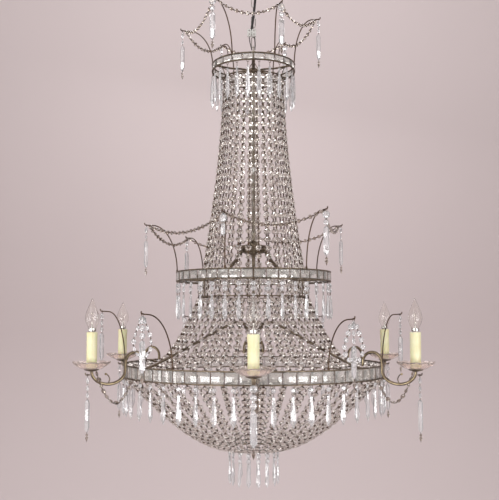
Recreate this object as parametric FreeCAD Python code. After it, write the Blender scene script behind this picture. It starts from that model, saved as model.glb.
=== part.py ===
import FreeCAD, Part
import math
import os

os.makedirs("parts", exist_ok=True)

# A basket chandelier in millimetres, +Z up, its front towards -Y. The origin is the middle of the bore
# that takes the ceiling hook. An azimuth is counted from the front, and grows towards +X.

# Hanging loop and chain
hook_bore = 24.0          # across the bore for the ceiling hook
loop_wall = 6.0           # metal round both holes of the loop
loop_plate = 5.0          # thickness of the loop
link_hole = 10.0          # across the lower hole, which takes the chain
link_wire = 3.0
link_inside = 29.0        # free length inside a link
link_gap = 8.0            # free width inside a link
link_count = 6
hinge_play = 0.9          # room between two linked pieces

# Flex and its two ends
flex_wide = 7.0
clamp_size = (16.0, 13.0, 20.0)
block_size = (25.0, 14.0, 21.0)
lead_wide = 2.4
flex_seat = 3.0           # how far the flex runs into the clamp and the terminal block
flex_front = 14.5         # the flex hangs this far in front of the chain
flex_route = [(6.0, 0.0), (3.0, 36.0), (-2.0, 76.0), (-5.0, 97.0)]   # across, and below the clamp

# Heights of the tiers
eye_to_crown = 46.0       # stem eye down to the crown's top hoop
crown_band = 22.0
crown_to_waist = 574.0
waist_band = 28.0
waist_to_ring = 243.0
ring_band = 34.0
bowl_drop = 189.0         # main ring's underside down to the bottom ring
bottom_band = 4.0

# Radii of the tiers, to the middle of each hoop
crown_radius = 113.0
neck_radius = 81.0
waist_radius = 207.0
tent_radius = 148.0
ring_radius = 346.0
bottom_radius = 65.0
hoop_wide = 5.0
hoop_high = 3.5
crown_sides = 24          # flats round the crown, neck and tent hoops
waist_sides = 36
crown_inset = 17.0        # neck hoop below the crown's lower hoop
tent_inset = 38.0         # tent hoop below the waist's lower hoop

# Glass plaques between the hoops
plaque_thick = 4.0
plaque_gap = 3.9
crown_plaque_count = 24
waist_plaque_count = 42
ring_plaque_count = 66

# Bead strands
strand_wide = 7.0
strand_thick = 3.5
bottom_strand_wide = 6.0
neck_count = 30
neck_flare = 1.6          # how late the neck opens towards the waist
tent_count = 48
tent_sag = 78.0
bowl_sag = 27.0

# Spear prisms: width, depth, height of the link above, length of the glass
crown_spear_count = 24
waist_spear_count = 36
ring_spear_count = 48
bottom_spear_count = 16
crown_spears = (11.0, 7.0, 14.0, 86.0)
waist_spears = (8.0, 5.0, 36.0, 66.0)
ring_spears = (11.0, 7.0, 12.0, 62.0)
bottom_spears = (8.0, 5.0, 31.0, 61.0)

# Stem, hubs and straps
stem_wide = 10.0
eye_thick = 4.0
nut_across = 19.0
nut_high = 6.0
bore_play = 0.1
strap_wide = 8.0
strap_thick = 5.0
post_wide = 3.0
hub_sides = 12
crown_hub_radius = 12.0
waist_hub_radius = 33.0
strut_bends = [(64.0, 50.0), (112.0, 12.0)]   # radius, and height over the waist's lower hoop
strut_level = 136.0       # where the strut turns level
column_collar = 26.0
stem_glass_high = 352.0   # crystal balls and tubes threaded on the stem over the waist

# Candle arms
arm_count = 6
arm_thick = 8.5
candle_radius = 450.0
hump_radius = 25.0        # arch of the arm over the main ring
arm_dip = 32.0            # depth of the hanging bow
tendril_thick = 3.0
cup_radius = 18.0
cup_high = 3.0
dish_radius = 49.0
dish_hole = 8.0
dish_depth = 19.0
dish_wall = 3.0
dish_lobes = 8
sleeve_radius = 13.5
sleeve_wall = 1.5
sleeve_high = 86.0
socket_radius = 10.5
socket_high = 62.0
socket_foot_radius = 6.5
bulb_radius = 17.5
bulb_high = 83.0
bulb_base_radius = 6.5
bulb_base_high = 24.0
base_play = 0.5

# Wire branches: azimuth, reach of the tip out from the hoop and its rise over it, bent by hand
branch_wire = 3.2
crown_branches = [
    (-30, 99, 124), (30, 37, 128), (90, 71, 130),
    (150, 77, 118), (-150, 81, 112), (-90, 87, 98),
]
waist_branches = [
    (-20, 15, 138), (40, 74, 143), (120, 89, 142),
    (180, 55, 126), (-135, 76, 112), (-90, 88, 128),
]
ring_branches = [
    (-33, 110, 128), (30, 100, 117), (90, 52, 129),
    (150, 94, 124), (-150, 94, 124), (-90, 66, 137),
]
tip_straight = 20.0       # level end of each wire, which takes the pendant and the swags
swag_tip = 10.5           # the swags' ends from the tip of the wire
pendant_tip = 3.0         # the pendant's eye from the tip of the wire
swag_sag = 34.0
swag_wide = 6.0
swag_thick = 4.0
arm_swag_sag = 56.0

# Hanging pendants: top eye, octagon and long prism
eye_plate = 2.0
eye_wall = 1.6
octagon_wide = 17.0
octagon_thick = 6.0
prism_wide = 14.0
prism_thick = 7.0
prism_tip = 16.0
crown_drop = 140.0
waist_drop = 140.0
front_waist_drop = 84.0
ring_drop = 156.0
dish_drop = 160.0

# Heights that follow from the sizes above
loop_low = -(hook_bore + link_hole) / 2 - loop_wall
link_top = loop_low - link_hole / 2 + hinge_play
chain_foot = link_top - link_count * link_inside
eye_radius = link_hole / 2
eye_height = chain_foot + hinge_play - eye_radius
crown_top = eye_height - eye_to_crown
crown_low = crown_top - crown_band
neck_top = crown_low - crown_inset
waist_top = crown_top - crown_to_waist
waist_low = waist_top - waist_band
tent_top = waist_low - tent_inset
ring_top = waist_top - waist_to_ring
ring_low = ring_top - ring_band
bottom_top = ring_low - bowl_drop
bottom_low = bottom_top - bottom_band
cup_top = ring_top - 4.0
dish_floor = cup_top + dish_wall
sleeve_top = dish_floor + sleeve_high
bulb_seat = sleeve_top + 1.0
socket_floor = bulb_seat - bulb_base_high


def at_azimuth(shape, azimuth):
    placed = shape.copy()
    placed.rotate(FreeCAD.Vector(0, 0, 0), FreeCAD.Vector(0, 0, 1), azimuth - 90)
    return placed


def spread(shape, count, first=0.0):
    return [at_azimuth(shape, first + k * 360.0 / count) for k in range(count)]


def ngon(apothem, height, sides, middle=(0.0, 0.0)):
    # A regular outline whose flat sides face azimuth 0 and every step from it
    corner = apothem / math.cos(math.pi / sides)
    turns = [math.radians((k + 0.5) * 360.0 / sides - 90) for k in range(sides)]
    x, y = middle
    return [FreeCAD.Vector(x + corner * math.cos(t), y + corner * math.sin(t), height) for t in turns]


def rectangle(middle, wide, deep, height):
    x, y, u, v = middle[0], middle[1], deep / 2, wide / 2
    return [FreeCAD.Vector(x + a * u, y + b * v, height) for a, b in ((-1, -1), (1, -1), (1, 1), (-1, 1))]


def flat_face(points):
    return Part.Face(Part.makePolygon(points + [points[0]]))


def band(low, high):
    # Flat faces between two outlines with as many corners, or between an outline and a point
    faces = []
    for k in range(len(low)):
        n = (k + 1) % len(low)
        if len(high) == 1:
            faces.append(flat_face([low[k], low[n], high[0]]))
        else:
            faces.append(flat_face([low[k], low[n], high[n], high[k]]))
    return faces


def sealed(faces):
    # The solid inside faces that close on each other
    shell = Part.makeShell(faces)
    shell.sewShape()
    solid = Part.Solid(shell)
    if solid.Volume < 0:
        solid.reverse()
    return solid


def faceted(outlines, ring=False):
    # A solid through a row of outlines: closed by its ends, or round a hole when ring is set
    faces = []
    for low, high in zip(outlines, outlines[1:]):
        if len(low) == 1:
            low, high = high, low
        faces += band(low, high)
    if ring:
        faces += band(outlines[-1], outlines[0])
    else:
        faces += [flat_face(end) for end in (outlines[0], outlines[-1]) if len(end) > 1]
    return sealed(faces)


def bored(profile, bore, sides, middle=(0.0, 0.0)):
    # A turned piece with flat facets: profile is (radius, height) from bottom to top, round a straight bore
    outer = [ngon(radius, height, sides, middle) for radius, height in profile]
    inner = [ngon(bore, height, sides, middle) for height in (profile[-1][1], profile[0][1])]
    return faceted(outer + inner, ring=True)


def hoop(radius, low, sides, turned=0.0, high=hoop_high):
    outside = radius + hoop_wide / 2
    ring = bored([(outside, low), (outside, low + high)], radius - hoop_wide / 2, sides)
    ring.rotate(FreeCAD.Vector(0, 0, 0), FreeCAD.Vector(0, 0, 1), turned)
    return ring


def bar(points, thick, wide, start="square", end="square"):
    # A flat bar bent in the radial plane along (radius, height) points
    # Its ends are cut square, level or plumb
    over, under = [], []
    last = len(points) - 1
    for i, (r, z) in enumerate(points):
        back = unit(points[i - 1], points[i]) if i > 0 else unit(points[0], points[1])
        on = unit(points[i], points[i + 1]) if i < last else back
        along = unit((0, 0), (back[0] + on[0], back[1] + on[1]))
        reach = thick / 2 / (along[0] * on[0] + along[1] * on[1])
        off = (-along[1] * reach, along[0] * reach)
        cut = start if i == 0 else end if i == last else "square"
        if cut == "level":
            off = (math.copysign(thick / 2 / abs(along[1]), off[0]), 0.0)
        if cut == "plumb":
            off = (0.0, math.copysign(thick / 2 / abs(along[0]), off[1]))
        over.append(FreeCAD.Vector(r + off[0], -wide / 2, z + off[1]))
        under.append(FreeCAD.Vector(r - off[0], -wide / 2, z - off[1]))
    return flat_face(over + under[::-1]).extrude(FreeCAD.Vector(0, wide, 0))


def unit(a, b):
    length = math.hypot(b[0] - a[0], b[1] - a[1])
    return ((b[0] - a[0]) / length, (b[1] - a[1]) / length)


def hanging(start, end, sag, steps):
    # Points of a slack strand between two ends
    points = []
    for k in range(steps + 1):
        t = k / steps
        radius = start[0] + (end[0] - start[0]) * t
        height = start[1] + (end[1] - start[1]) * t
        points.append((radius, height - 4 * sag * t * (1 - t)))
    return points


def flared(start, end, late, steps):
    # Points of a strand that goes down evenly and opens late
    points = []
    for k in range(steps + 1):
        t = k / steps
        radius = start[0] + (end[0] - start[0]) * t ** late
        points.append((radius, start[1] + (end[1] - start[1]) * k / steps))
    return points


def box(low, high):
    size = [b - a for a, b in zip(low, high)]
    return Part.makeBox(size[0], size[1], size[2], FreeCAD.Vector(low[0], low[1], low[2]))


def brick(x, y, low, size):
    # A block centred on x and y that starts at a height
    wide, deep, high = size
    return box((x - wide / 2, y - deep / 2, low), (x + wide / 2, y + deep / 2, low + high))


def upright(radius, low, high):
    # A square post that joins two hoops
    return brick(radius, 0.0, low, (post_wide, post_wide, high - low))


def spear(top, radius, sizes):
    # A cut prism on its link: slender neck, shoulders, long body and a pointed foot
    wide, deep, link, glass = sizes
    middle = (radius, 0.0)
    outlines = [
        rectangle(middle, 2.2, 2.2, top),
        rectangle(middle, wide * 0.62, deep * 0.8, top - link),
        rectangle(middle, wide, deep, top - link - glass * 0.78),
        [FreeCAD.Vector(radius, 0, top - link - glass)],
    ]
    return faceted(outlines)


def hanging_ring():
    # An eight-shaped plate: the upper bore takes the ceiling hook, the lower hole the chain
    flat_sides = 16
    discs = []
    for middle, radius in ((0.0, hook_bore / 2 + loop_wall), (loop_low, link_hole / 2 + loop_wall)):
        disc = faceted([ngon(radius, -loop_plate / 2, flat_sides), ngon(radius, loop_plate / 2, flat_sides)])
        disc.rotate(FreeCAD.Vector(0, 0, 0), FreeCAD.Vector(1, 0, 0), 90)
        disc.translate(FreeCAD.Vector(0, 0, middle))
        discs.append(disc)
    plate = discs[0].fuse(discs[1])
    for middle, wide in ((0.0, hook_bore), (loop_low, link_hole)):
        foot = FreeCAD.Vector(0, loop_plate, middle)
        plate = plate.cut(Part.makeCylinder(wide / 2, loop_plate * 2, foot, FreeCAD.Vector(0, -1, 0)))
    return [plate.removeSplitter()]


def link_slab(top, grow):
    # A slab as thick as the link's wire: the link's hole, grown on every side
    half = link_gap / 2 + grow
    corner = (link_gap / 2 + grow) / 2
    low, high = top - link_inside - grow, top + grow
    steps = [
        (-half, low + corner), (-half + corner, low), (half - corner, low), (half, low + corner),
        (half, high - corner), (half - corner, high), (-half + corner, high), (-half, high - corner),
    ]
    face = flat_face([FreeCAD.Vector(x, -link_wire / 2, z) for x, z in steps])
    return face.extrude(FreeCAD.Vector(0, link_wire, 0))


def chain_link(top, crosswise):
    # An oblong link with its corners taken off, standing across the one above
    link = link_slab(top, link_wire).cut(link_slab(top, 0.0))
    if crosswise:
        link.rotate(FreeCAD.Vector(0, 0, 0), FreeCAD.Vector(0, 0, 1), 90)
    return link


def chain_links():
    return [chain_link(link_top - k * link_inside, k % 2 == 0) for k in range(link_count)]


clamp_top = link_top - 11.0
clamp_low = clamp_top - clamp_size[2]
block_top = clamp_low - flex_route[-1][1]


def flex_clamp():
    # The cord grip at the top of the flex sits on the front edge of the first link
    back = -link_gap / 2 - link_wire
    x = flex_route[0][0] - 2.0
    return [brick(x, back - clamp_size[1] / 2, clamp_low, clamp_size)]


def flex():
    points = [FreeCAD.Vector(x, -flex_front, clamp_low - drop) for x, drop in flex_route]
    points[0] = points[0] + (points[0] - points[1]).normalize() * flex_seat
    points[-1] = points[-1] + (points[-1] - points[-2]).normalize() * flex_seat
    edges, start = [], points[0]
    for a, b, c in zip(points, points[1:], points[2:]):
        back, on = (a - b), (c - b)
        half_turn = (math.pi - back.getAngle(on)) / 2
        tangent = 0.45 * min(back.Length, on.Length)
        radius = tangent / math.tan(half_turn)
        print("flex bend radius", round(radius, 1))
        inward = (back.normalize() + on.normalize()).normalize()
        into, out = b + back * tangent, b + on * tangent
        middle = b + inward * (math.hypot(radius, tangent) - radius)
        edges.append(Part.LineSegment(start, into).toShape())
        edges.append(Part.Arc(into, middle, out).toShape())
        start = out
    edges.append(Part.LineSegment(start, points[-1]).toShape())
    path = Part.Wire(edges)
    circle = Part.Wire(Part.Circle(points[0], points[1] - points[0], flex_wide / 2).toShape())
    tube = path.makePipeShell([circle], True, False)
    due = path.Length * math.pi * flex_wide ** 2 / 4
    print("flex length", round(path.Length, 1), "volume error", tube.Volume / due - 1)
    return [tube]


def terminal_block():
    # The block joins the flex to the two leads that enter the stem
    x = flex_route[-1][0]
    y = -flex_front
    block_low = block_top - block_size[2]
    leads = []
    for side in (-1, 1):
        foot = rectangle((side * 4.2, -5.0), lead_wide, lead_wide, eye_foot + 1.5)
        head = rectangle((x + side * 7.0, y), lead_wide, lead_wide, block_low)
        leads.append(faceted([foot, head]))
    return [brick(x, y, block_low, block_size)] + leads


def stem():
    # The hollow stem carries every tier on its nuts; its eye hangs on the last link
    foot = column_low - nut_high
    tube = faceted([ngon(stem_wide / 2, foot, hub_sides), ngon(stem_wide / 2, eye_foot, hub_sides)])
    for top in (crown_hub_low, waist_hub_low, column_low):
        nut = faceted([ngon(nut_across / 2, top - nut_high, 6), ngon(nut_across / 2, top, 6)])
        tube = tube.fuse(nut)
    eye = bored([(eye_radius + 3.5, -eye_thick / 2), (eye_radius + 3.5, eye_thick / 2)], eye_radius, 8)
    eye.rotate(FreeCAD.Vector(0, 0, 0), FreeCAD.Vector(0, 1, 0), 90)
    eye.translate(FreeCAD.Vector(0, 0, eye_height))
    collar = faceted([ngon(stem_wide / 2 + 2, height, hub_sides) for height in (eye_foot - 5, eye_foot)])
    return [tube.fuse([collar, eye]).removeSplitter()]


eye_foot = eye_height - eye_radius - 2.5
crown_hub_high = crown_low + 12.0
crown_hub_low = crown_low - 4.0
waist_hub_high = waist_top + 84.0
waist_hub_low = waist_top + 46.0
column_high = ring_top + 112.0
column_low = ring_top - 8.0


def crown_ring():
    level = crown_low + hoop_high / 2
    edge = crown_radius - hoop_wide / 2
    line = [(crown_hub_radius, crown_low + 5.0), (crown_radius * 0.6, level), (edge, level)]
    spoke = bar(line, hoop_high, strap_wide, "plumb", "plumb")
    post = upright(neck_radius, neck_top, crown_low)
    profile = [(crown_hub_radius, crown_hub_low), (crown_hub_radius, crown_hub_high)]
    hub = bored(profile, stem_wide / 2 + bore_play, hub_sides)
    hoops = [
        hoop(crown_radius, crown_top - hoop_high, crown_sides),
        hoop(crown_radius, crown_low, crown_sides),
        hoop(neck_radius, neck_top - hoop_high, crown_sides),
    ]
    return hoops + [hub] + spread(spoke, 6) + spread(post, 6)


def plaques(radius, low, high, count):
    # Glass plates that fill the band between a lower and an upper hoop
    wide = 2 * math.pi * radius / count - plaque_gap
    plaque = brick(radius, 0.0, low + hoop_high, (plaque_thick, wide, high - low - 2 * hoop_high))
    return spread(plaque, count, 180.0 / count)


def branch(radius, base, reach, rise):
    # A wire that stands up from the hoop, arches outwards and ends in a small upturned hook
    points = [(radius, base)]
    for k in range(1, 5):
        t = math.radians(k * 22.5)
        out = (reach - tip_straight - radius) * (1 - math.cos(t))
        points.append((radius + out, base + rise * math.sin(t)))
    points += [(reach, base + rise), (reach + 2.5, base + rise + 5)]
    return bar(points, branch_wire, branch_wire, "level")


def branches(radius, base, tips):
    return [at_azimuth(branch(radius, base, radius + out, rise), azimuth) for azimuth, out, rise in tips]


def strands(points, count, wide, foot_cut):
    strand = bar(points, strand_thick, wide, "level", foot_cut)
    return spread(strand, count, 180.0 / count)


def neck_strands():
    line = flared((neck_radius, neck_top - hoop_high), (tent_radius, tent_top), neck_flare, 3)
    return strands(line, neck_count, strand_wide, "level")


def tent_strands():
    start = (tent_radius, tent_top - hoop_high)
    end = (ring_radius - hoop_wide / 2, ring_top - hoop_high / 2)
    return strands(hanging(start, end, tent_sag, 4), tent_count, strand_wide, "plumb")


def bowl_strands():
    start = (ring_radius - 0.2, ring_low)
    end = (bottom_radius + hoop_wide / 2, bottom_top - bottom_band / 2)
    return strands(hanging(start, end, bowl_sag, 3), tent_count, bottom_strand_wide, "plumb")


def waist_ring():
    level = waist_low + hoop_high / 2
    line = [(waist_hub_radius, waist_hub_low + 16)]
    line += [(radius, waist_low + over) for radius, over in strut_bends]
    line += [(strut_level, level), (waist_radius - hoop_wide / 2, level)]
    strut = bar(line, hoop_high, strap_wide, "plumb", "plumb")
    post = upright(tent_radius, tent_top, waist_low)
    hoops = [
        hoop(waist_radius, waist_top - hoop_high, waist_sides),
        hoop(waist_radius, waist_low, waist_sides),
        hoop(tent_radius, tent_top - hoop_high, crown_sides),
    ]
    side = upright(waist_radius, waist_low + hoop_high, waist_top - hoop_high)
    profile = [
        (12.0, waist_hub_low), (waist_hub_radius, waist_hub_low + 8),
        (waist_hub_radius, waist_hub_low + 24), (11.0, waist_hub_high),
    ]
    hub = bored(profile, stem_wide / 2 + bore_play, hub_sides)
    return hoops + [hub] + spread(strut, 6) + spread(post, 6) + spread(side, 6)


def main_ring():
    level = ring_top - strap_thick / 2
    half_side = math.pi / tent_count
    edge = (ring_radius - hoop_wide / 2) / math.cos(half_side) - strap_wide / 2 * math.tan(half_side)
    line = [
        (column_collar, column_high - 13), (column_collar + 28, column_high - 4),
        (ring_radius / 3, column_high - 30), (ring_radius * 0.47, column_high - 52),
        (ring_radius * 0.855, level), (edge, level),
    ]
    arm = bar(line, strap_thick, strap_wide, "plumb", "plumb")
    side = upright(ring_radius, ring_low + hoop_high, ring_top - hoop_high)
    turned = 180.0 / tent_count
    hoops = [hoop(ring_radius, low, tent_count, turned) for low in (ring_top - hoop_high, ring_low)]
    return hoops + spread(arm, 6) + spread(side, 6)


def turned_column():
    down = [
        (12, 0), (column_collar, 5), (column_collar, 22), (14, 30), (18, 46),
        (28, 72), (24, 92), (12, 108), (14, 120),
    ]
    profile = [(radius, column_high - depth) for radius, depth in reversed(down)]
    return [bored(profile, stem_wide / 2 + bore_play, hub_sides)]


def stem_glass():
    foot = waist_hub_high
    high = [foot + part * stem_glass_high for part in (0, 0.03, 0.05, 0.08, 0.54, 0.57, 0.6, 0.66, 0.94, 1)]
    across = [9, 15, 15, 8.5, 8.5, 12, 8, 10, 7.5, 9]
    profile = list(zip(across[:7], high[:7]))
    upper = list(zip(across[6:], high[6:]))
    return [bored(part, stem_wide / 2 + 2 * bore_play, hub_sides) for part in (profile, upper)]


def arm_points():
    hump_mid = ring_radius - 7.0
    bow_mid = (hump_mid + hump_radius + candle_radius) / 2
    bow_half = candle_radius - bow_mid
    bow_top = cup_top - cup_high
    points = [(hump_mid - hump_radius, ring_top)]
    for k in range(0, 6):
        t = math.radians(180 - k * 36)
        points.append((hump_mid + hump_radius * math.cos(t), ring_top + 10 + hump_radius * math.sin(t)))
    for k in range(0, 8):
        t = math.radians(180 + k * 180 / 7.0)
        points.append((bow_mid + bow_half * math.cos(t), bow_top - 2 + arm_dip * math.sin(t)))
    points.append((candle_radius, bow_top))
    return points


def candle_arms():
    points = arm_points()
    arm = bar(points, arm_thick, arm_thick, "level", "level")
    mid = (candle_radius, 0)
    under = ngon(cup_radius - 5, cup_top - cup_high, hub_sides, mid)
    cup = faceted([under, ngon(cup_radius, cup_top, hub_sides, mid)])
    bow_low = min(z for r, z in points)
    bow_mid = (points[6][0] + candle_radius) / 2
    tendril_foot = bow_low + arm_thick / 2
    curl = [(bow_mid, tendril_foot), (bow_mid - 2, tendril_foot + 12), (bow_mid + 4, tendril_foot + 22)]
    tendril = bar(curl, tendril_thick, tendril_thick, "level")
    face = candle_radius + arm_thick / 2
    line = [(face, hook_height), (face + 9, hook_height), (face + 11, hook_height + 5)]
    hook = bar(line, branch_wire, branch_wire, "plumb")
    one = [arm, cup, tendril, hook]
    return [at_azimuth(piece, k * 60.0) for k in range(arm_count) for piece in one]


hook_height = cup_top - cup_high - 10.0


def scalloped(radius, height):
    points = []
    for k in range(dish_lobes * 2):
        t = math.radians(k * 180.0 / dish_lobes)
        r = radius * (1.0 if k % 2 == 0 else 0.93)
        points.append(FreeCAD.Vector(candle_radius + r * math.cos(t), r * math.sin(t), height))
    return points


def drip_dish():
    # A shallow glass dish with a scalloped rim, holed for the socket
    count = dish_lobes * 2
    rim = cup_top + dish_depth
    loops = [
        even(dish_hole, cup_top, count), even(cup_radius, cup_top, count),
        scalloped(dish_radius - 2, rim - 2.5), scalloped(dish_radius, rim),
        even(cup_radius, dish_floor, count), even(dish_hole, dish_floor, count),
    ]
    faces = []
    for a, b in zip(loops, loops[1:] + loops[:1]):
        for k in range(len(a)):
            n = (k + 1) % len(a)
            faces += [flat_face([a[k], a[n], b[n]]), flat_face([a[k], b[n], b[k]])]
    return sealed(faces)


def even(radius, height, count):
    turns = [math.radians(k * 360.0 / count) for k in range(count)]
    return [FreeCAD.Vector(candle_radius + radius * math.cos(t), radius * math.sin(t), height) for t in turns]


def candle_sleeve():
    high = [(sleeve_radius, dish_floor), (sleeve_radius, sleeve_top)]
    return bored(high, sleeve_radius - sleeve_wall, 12, (candle_radius, 0))


def lamp_socket():
    # The foot stands on the cup through the dish, and the bulb's base rests on the floor of the socket
    mid = (candle_radius, 0)
    shoulder = sleeve_top - socket_high
    profile = [
        (socket_foot_radius, cup_top), (socket_foot_radius, shoulder),
        (socket_radius, shoulder), (socket_radius, socket_floor),
    ]
    foot = faceted([ngon(radius, height, hub_sides, mid) for radius, height in profile])
    high = [(socket_radius, socket_floor), (socket_radius, sleeve_top - 3)]
    wall = bored(high, bulb_base_radius + base_play, hub_sides, mid)
    return [foot, wall]


def bulb():
    # Base, neck, belly and the long point of a candle-shaped lamp
    profile = [
        (bulb_base_radius - 2, -bulb_base_high), (bulb_base_radius, 4 - bulb_base_high),
        (bulb_base_radius, 0),
        (9.5, 6), (bulb_radius, 30), (bulb_radius * 0.86, 46), (bulb_radius * 0.42, 68),
    ]
    outlines = [ngon(radius, bulb_seat + over, 12, (candle_radius, 0)) for radius, over in profile]
    return faceted(outlines + [[FreeCAD.Vector(candle_radius, 0, bulb_seat + bulb_high)]])


def pendant(radius, height, drop):
    # Top eye round the hook wire, then octagon, long prism and end drop
    hole = branch_wire / 2 + 0.9
    top = height + hole + eye_wall
    low = height - hole - 1.5 - eye_wall
    frame = brick(radius, 0.0, low, (eye_plate, 2 * (hole + eye_wall), top - low))
    inside = brick(radius, 0.0, low + eye_wall, (2 * eye_plate, 2 * hole, top - low - 2 * eye_wall))
    mid = (radius, 0.0)
    start = low - octagon_wide
    foot = height - drop
    octagon = faceted([
        rectangle(mid, 3.0, 2.0, low),
        rectangle(mid, octagon_wide, octagon_thick, low - octagon_wide / 2),
        rectangle(mid, 3.0, 2.0, start),
    ])
    prism = faceted([
        rectangle(mid, 3.0, 2.0, start),
        rectangle(mid, prism_wide, prism_thick, start - (start - foot) * 0.3),
        rectangle(mid, prism_wide, prism_thick, foot + prism_tip),
        [FreeCAD.Vector(radius, 0, foot)],
    ])
    return [frame.cut(inside), octagon, prism]


def swag(a, b, sag, wide=swag_wide, thick=swag_thick):
    # A bead swag between two wire tips, hung under both
    # Each end stands half its cut beside the wire's middle, which leaves room for the next swag
    start, end = FreeCAD.Vector(*a), FreeCAD.Vector(*b)
    span = math.hypot(end.x - start.x, end.y - start.y)
    inset = 0.0
    for _ in range(3):
        line = hanging((inset, start.z), (span - inset, end.z), sag, 5)
        steep = min(abs(unit(line[0], line[1])[1]), abs(unit(line[-2], line[-1])[1]))
        inset = thick / 2 / steep + 0.2
    line = hanging((inset, start.z), (span - inset, end.z), sag, 5)
    piece = bar(line, thick, wide, "level", "level")
    heading = math.degrees(math.atan2(end.y - start.y, end.x - start.x))
    piece.rotate(FreeCAD.Vector(0, 0, 0), FreeCAD.Vector(0, 0, 1), heading)
    piece.translate(FreeCAD.Vector(start.x, start.y, 0))
    return piece


def polar(azimuth, radius, height):
    t = math.radians(azimuth)
    return (radius * math.sin(t), -radius * math.cos(t), height)


def garlands():
    swags = []
    tiers = ((crown_branches, crown_radius, crown_top), (waist_branches, waist_radius, waist_top))
    for tips, radius, base in tiers:
        ends = []
        for azimuth, out, rise in tips:
            ends.append(polar(azimuth, radius + out - swag_tip, base + rise - branch_wire / 2))
        swags += [swag(a, b, swag_sag) for a, b in zip(ends, ends[1:] + ends[:1])]
    # One swag beside each arm, from under its cup to the outside of the main ring
    beside = arm_thick / 2 + swag_wide / 2 + 0.3
    corner = (ring_radius + hoop_wide / 2) / math.cos(math.pi / tent_count)
    edge = corner - (beside - swag_wide / 2) * math.tan(math.pi / tent_count)
    cup_side = (candle_radius - arm_thick, cup_top - cup_high)
    line = hanging((edge, ring_low + hoop_high / 2), cup_side, arm_swag_sag, 5)
    link = bar(line, swag_thick, swag_wide, "plumb", "level")
    link.translate(FreeCAD.Vector(0, beside, 0))
    return swags + spread(link, arm_count)


def fringe(radius, top, sizes, count, first=0.0):
    return spread(spear(top, radius, sizes), count, first)


def bottom_ring():
    return [hoop(bottom_radius, bottom_low, tent_count, 180.0 / tent_count, bottom_band)]


places = ["front", "front_right", "back_right", "back", "back_left", "front_left"]
nodes = {
    "hanging_ring": hanging_ring(),
    "chain_links": chain_links(),
    "flex_clamp": flex_clamp(),
    "flex": flex(),
    "terminal_block": terminal_block(),
    "stem": stem(),
    "stem_glass": stem_glass(),
    "crown_ring": crown_ring(),
    "crown_plaques": plaques(crown_radius, crown_low, crown_top, crown_plaque_count),
    "crown_branches": branches(crown_radius, crown_top, crown_branches),
    "crown_prisms": fringe(crown_radius, crown_low, crown_spears, crown_spear_count, 7.5),
    "neck_strands": neck_strands(),
    "waist_ring": waist_ring(),
    "waist_plaques": plaques(waist_radius, waist_low, waist_top, waist_plaque_count),
    "waist_branches": branches(waist_radius, waist_top, waist_branches),
    "waist_prisms": fringe(waist_radius, waist_low, waist_spears, waist_spear_count),
    "tent_strands": tent_strands(),
    "turned_column": turned_column(),
    "main_ring": main_ring(),
    "main_plaques": plaques(ring_radius, ring_low, ring_top, ring_plaque_count),
    "main_branches": branches(ring_radius, ring_top, ring_branches),
    "main_prisms": fringe(ring_radius, ring_low, ring_spears, ring_spear_count),
    "bowl_strands": bowl_strands(),
    "bottom_ring": bottom_ring(),
    "bottom_prisms": fringe(bottom_radius, bottom_low, bottom_spears, bottom_spear_count, 11.25),
    "candle_arms": candle_arms(),
    "drip_dishes": spread(drip_dish(), arm_count),
    "candle_sleeves": spread(candle_sleeve(), arm_count),
    "lamp_sockets": [at_azimuth(piece, k * 60.0) for k in range(arm_count) for piece in lamp_socket()],
    "garlands": garlands(),
}
for k, place in enumerate(places):
    nodes["bulb_" + place] = [at_azimuth(bulb(), k * 60.0)]
    hanging_glass = pendant(candle_radius + arm_thick / 2 + 5, hook_height, dish_drop)
    nodes["dish_pendant_" + place] = [at_azimuth(p, k * 60.0) for p in hanging_glass]
tiers = (
    ("crown", crown_branches, crown_radius, crown_top, crown_drop),
    ("waist", waist_branches, waist_radius, waist_top, waist_drop),
    ("ring", ring_branches, ring_radius, ring_top, ring_drop),
)
for tier, tips, radius, base, drop in tiers:
    for k, (azimuth, out, rise) in enumerate(tips):
        length = front_waist_drop if tier == "waist" and k == 0 else drop
        hung = pendant(radius + out - pendant_tip, base + rise, length)
        nodes[tier + "_pendant_" + str(k + 1)] = [at_azimuth(piece, azimuth) for piece in hung]

for name, solids in nodes.items():
    Part.makeCompound(solids).exportStep("parts/" + name + ".step")
print(len(nodes), "nodes", sum(len(s) for s in nodes.values()), "solids")
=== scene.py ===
import math
import random
import bpy
from mathutils import Matrix, Vector

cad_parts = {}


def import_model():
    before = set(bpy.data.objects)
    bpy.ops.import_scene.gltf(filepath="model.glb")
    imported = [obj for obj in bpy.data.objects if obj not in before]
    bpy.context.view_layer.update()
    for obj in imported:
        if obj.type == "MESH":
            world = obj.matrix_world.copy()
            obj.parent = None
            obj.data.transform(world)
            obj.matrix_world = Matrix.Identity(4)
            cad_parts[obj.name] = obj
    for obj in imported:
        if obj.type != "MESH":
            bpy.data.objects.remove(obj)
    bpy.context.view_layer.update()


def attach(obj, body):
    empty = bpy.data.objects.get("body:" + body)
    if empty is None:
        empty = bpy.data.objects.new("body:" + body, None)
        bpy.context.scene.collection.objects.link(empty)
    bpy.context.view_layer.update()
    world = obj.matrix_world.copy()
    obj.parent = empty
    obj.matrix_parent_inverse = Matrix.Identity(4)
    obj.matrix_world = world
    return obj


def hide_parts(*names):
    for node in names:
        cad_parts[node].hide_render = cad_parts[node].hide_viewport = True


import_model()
chance = random.Random(41)
print("stage 1: frame loaded")

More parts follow.
